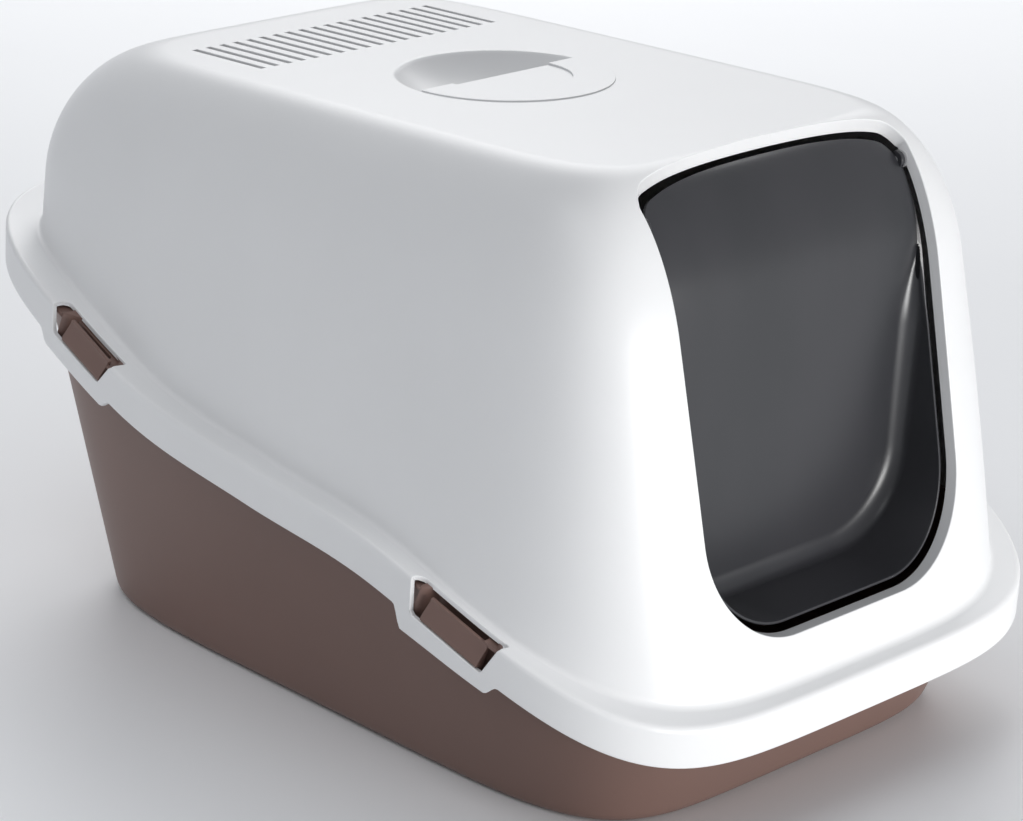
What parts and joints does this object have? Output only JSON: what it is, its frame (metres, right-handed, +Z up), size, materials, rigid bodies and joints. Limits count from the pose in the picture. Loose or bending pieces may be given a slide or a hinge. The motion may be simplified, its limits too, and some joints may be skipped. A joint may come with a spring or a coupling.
{
  "type": "hooded litter box",
  "caption": "Deep pet litter tray with a lift-off hood on a sloping rim, a swinging scoop door, roof vents with a filter, and a recessed carrying grip.",
  "frame": {"origin": "centre of the box around the object, on the floor", "axes": "+Z up, the doorway faces -Y, +X to the right of someone looking along +Y"},
  "size_m": [0.4, 0.56, 0.3415],
  "materials": {
    "tray_plastic": "satin moulded",
    "hood_plastic": "satin moulded",
    "pin_plastic": "smooth",
    "door_plastic": "smoked, smooth",
    "filter_rod": "drawn wire",
    "filter_foam": "open-cell carbon foam"
  },
  "bodies": {
    "tray_body": {"tray": "tray_plastic"},
    "clip_front_left_tongue": {"clip_front_left": "tray_plastic"},
    "clip_front_right_tongue": {"clip_front_right": "tray_plastic"},
    "clip_rear_left_tongue": {"clip_rear_left": "tray_plastic"},
    "clip_rear_right_tongue": {"clip_rear_right": "tray_plastic"},
    "hood_body": {"hood": "hood_plastic", "grip_plate": "hood_plastic", "hinge_pin_left": "pin_plastic", "hinge_pin_right": "pin_plastic", "filter_pin": "filter_rod"},
    "door_body": {"door": "door_plastic"},
    "filter_body": {"filter_cassette": "hood_plastic", "filter_pad": "filter_foam"}
  },
  "joints": [
    {"name": "hood_lift", "type": "slide", "parent": "tray_body", "child": "hood_body", "axis": [0, 0, 1], "range_m": [0, 0.3], "deforming": ["clip_front_left", "clip_front_right", "clip_rear_left", "clip_rear_right"]},
    {"name": "door_swing", "type": "hinge", "parent": "hood_body", "child": "door_body", "pos_m": [0, -0.185, 0.316], "axis": [1, 0, 0], "range_deg": [-70, 70]},
    {"name": "filter_drop", "type": "hinge", "parent": "hood_body", "child": "filter_body", "pos_m": [0, 0.18411, 0.31791], "axis": [1, 0, 0], "range_deg": [0, 80]},
    {"name": "clip_front_left_flex", "type": "hinge", "parent": "tray_body", "child": "clip_front_left_tongue", "pos_m": [-0.19255, -0.1518, 0.09453], "axis": [-0.0667, 0.9411, 0.3315], "range_deg": [0, 12], "stiffness_Nm_per_rad": 1.5},
    {"name": "clip_front_right_flex", "type": "hinge", "parent": "tray_body", "child": "clip_front_right_tongue", "pos_m": [0.19255, -0.1518, 0.09453], "axis": [-0.0667, -0.9411, -0.3315], "range_deg": [0, 12], "stiffness_Nm_per_rad": 1.5},
    {"name": "clip_rear_left_flex", "type": "hinge", "parent": "tray_body", "child": "clip_rear_left_tongue", "pos_m": [-0.19275, 0.14868, 0.15917], "axis": [0.0559, 0.9253, 0.3751], "range_deg": [0, 12], "stiffness_Nm_per_rad": 1.5},
    {"name": "clip_rear_right_flex", "type": "hinge", "parent": "tray_body", "child": "clip_rear_right_tongue", "pos_m": [0.19275, 0.14868, 0.15917], "axis": [0.0559, -0.9253, -0.3751], "range_deg": [0, 12], "stiffness_Nm_per_rad": 1.5}
  ]
}
